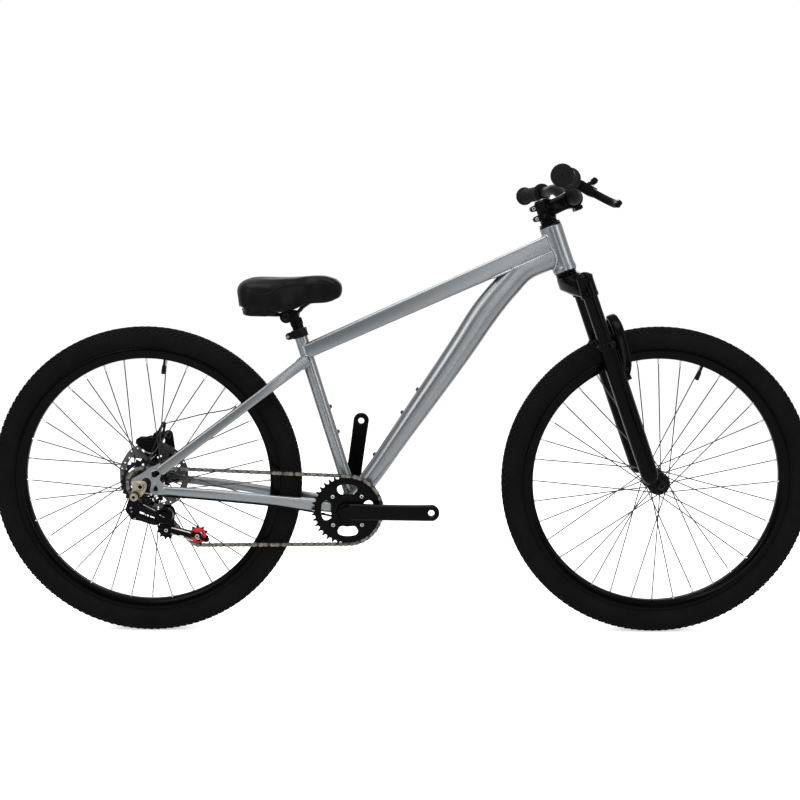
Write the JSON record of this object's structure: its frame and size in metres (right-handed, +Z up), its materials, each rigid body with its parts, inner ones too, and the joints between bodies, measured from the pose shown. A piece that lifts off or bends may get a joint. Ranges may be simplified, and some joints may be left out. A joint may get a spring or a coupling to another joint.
{
  "type": "bicycle",
  "caption": "Hardtail bicycle with a telescopic fork, one chainring and one driven cog, a sprung chain tensioner, a rear disc brake and no pedals.",
  "frame": {"origin": "on the ground, midway between the two axles, in the plane of the wheels", "axes": "+X forward, towards the front wheel; +Y to the rider's left; +Z up. The chain side is at -Y"},
  "size_m": [1.831, 0.7202, 1.017],
  "materials": {
    "frame_silver": "satin metallic silver-grey",
    "black_paint": "semi-gloss black paint over aluminium",
    "black_metal": "satin black anodising",
    "steel": "zinc-plated",
    "hanger_steel": "yellow-passivated",
    "chain_steel": "oiled dark steel",
    "spoke_steel": "black-coated steel",
    "tyre": "matt rubber",
    "grip_rubber": "matt ribbed rubber",
    "saddle_cover": "satin vinyl cover over foam",
    "cable_jacket": "matt black sleeve",
    "pulley_black": "moulded",
    "pulley_red": "moulded"
  },
  "bodies": {
    "frame": {"head_tube": "frame_silver", "top_tube": "frame_silver", "down_tube": "frame_silver", "seat_tube": "frame_silver", "bottom_bracket_shell": "frame_silver", "chainstay_left": "frame_silver", "chainstay_right": "frame_silver", "seatstay_left": "frame_silver", "seatstay_right": "frame_silver", "dropout_left": "frame_silver", "dropout_right": "frame_silver", "seatstay_bridge": "frame_silver", "chainstay_bridge": "frame_silver", "headset_upper_cup": "black_metal", "headset_lower_cup": "black_metal", "bottom_bracket_cup_left": "black_metal", "bottom_bracket_cup_right": "black_metal", "seat_clamp": "black_metal", "rear_axle": "steel", "derailleur_hanger": "hanger_steel", "tensioner_body": "black_paint", "brake_caliper": "black_metal", "brake_cable": "cable_jacket", "stay_cable": "cable_jacket", "chain": "chain_steel"},
    "seat": {"seatpost": "black_paint", "saddle_clamp": "black_metal", "saddle_rails": "steel", "saddle": "saddle_cover"},
    "steering": {"steerer": "steel", "fork_crown": "black_paint", "stanchion_left": "black_metal", "stanchion_right": "black_metal", "headset_cover": "black_paint", "stem": "black_paint", "stem_faceplate": "black_paint", "handlebar": "black_paint", "grip_left": "grip_rubber", "grip_right": "grip_rubber", "lever_bracket": "black_paint"},
    "brake_lever": {"brake_lever": "black_paint"},
    "fork_lowers": {"fork_lowers": "black_paint", "front_axle": "steel"},
    "front_wheel": {"front_hub": "spoke_steel", "front_rim": "black_paint", "front_tyre": "tyre"},
    "rear_wheel": {"rear_hub": "spoke_steel", "rear_rim": "black_paint", "rear_tyre": "tyre", "brake_rotor": "steel"},
    "cranks": {"crank_spindle": "steel", "chainring": "black_metal", "crank_arm_left": "black_paint", "crank_arm_right": "black_paint"},
    "rear_sprocket": {"rear_sprocket": "chain_steel"},
    "caliper_arm": {"caliper_arm": "black_metal"},
    "tensioner_cage": {"tensioner_cage": "black_metal"},
    "guide_pulley": {"guide_pulley": "pulley_black"},
    "tension_pulley": {"tension_pulley": "pulley_red"}
  },
  "joints": [
    {"name": "seat_height", "type": "slide", "parent": "frame", "child": "seat", "axis": [-0.2924, 0, 0.9563], "range_m": [0, 0.1]},
    {"name": "steering", "type": "hinge", "parent": "frame", "child": "steering", "pos_m": [0.34214, 0, 0.86222], "axis": [-0.3338, 0, 0.9426], "range_deg": [-58, 58]},
    {"name": "brake_lever", "type": "hinge", "parent": "steering", "child": "brake_lever", "pos_m": [0.37746, -0.20404, 0.97428], "axis": [-0.4766, 0.0482, -0.8778], "range_deg": [0, 18], "stiffness_Nm_per_rad": 1, "springref_deg": -17.19},
    {"name": "fork_travel", "type": "slide", "parent": "steering", "child": "fork_lowers", "axis": [-0.3338, 0, 0.9426], "range_m": [0, 0.08], "stiffness_N_per_m": 8000, "springref_m": -0.012},
    {"name": "front_wheel", "type": "hinge", "parent": "fork_lowers", "child": "front_wheel", "pos_m": [0.5695, 0, 0.346], "axis": [0, 1, 0], "continuous": true},
    {"name": "rear_wheel", "type": "hinge", "parent": "frame", "child": "rear_wheel", "pos_m": [-0.5695, 0, 0.346], "axis": [0, 1, 0], "continuous": true},
    {"name": "cranks", "type": "hinge", "parent": "frame", "child": "cranks", "pos_m": [-0.11935, 0, 0.287], "axis": [0, 1, 0], "continuous": true, "deforming": ["chain"]},
    {"name": "rear_sprocket", "type": "hinge", "parent": "frame", "child": "rear_sprocket", "pos_m": [-0.5695, 0, 0.346], "axis": [0, 1, 0], "continuous": true},
    {"name": "caliper_arm", "type": "hinge", "parent": "frame", "child": "caliper_arm", "pos_m": [-0.5595, 0, 0.434], "axis": [0, 1, 0], "range_deg": [0, 12], "deforming": ["brake_cable"]},
    {"name": "tensioner_cage", "type": "hinge", "parent": "frame", "child": "tensioner_cage", "pos_m": [-0.5175, 0, 0.284], "axis": [0, 1, 0], "range_deg": [-20, 12], "stiffness_Nm_per_rad": 1.5},
    {"name": "guide_pulley", "type": "hinge", "parent": "tensioner_cage", "child": "guide_pulley", "pos_m": [-0.52129, 0, 0.24307], "axis": [0, 1, 0], "continuous": true},
    {"name": "tension_pulley", "type": "hinge", "parent": "tensioner_cage", "child": "tension_pulley", "pos_m": [-0.45253, 0, 0.22974], "axis": [0, 1, 0], "continuous": true}
  ],
  "couplings": [
    {"joint": "rear_sprocket", "follows": "cranks", "ratio": 2.1111},
    {"joint": "tension_pulley", "follows": "cranks", "ratio": 3.4545},
    {"joint": "guide_pulley", "follows": "cranks", "ratio": -3.4545},
    {"joint": "caliper_arm", "follows": "brake_lever", "ratio": 0.6}
  ]
}
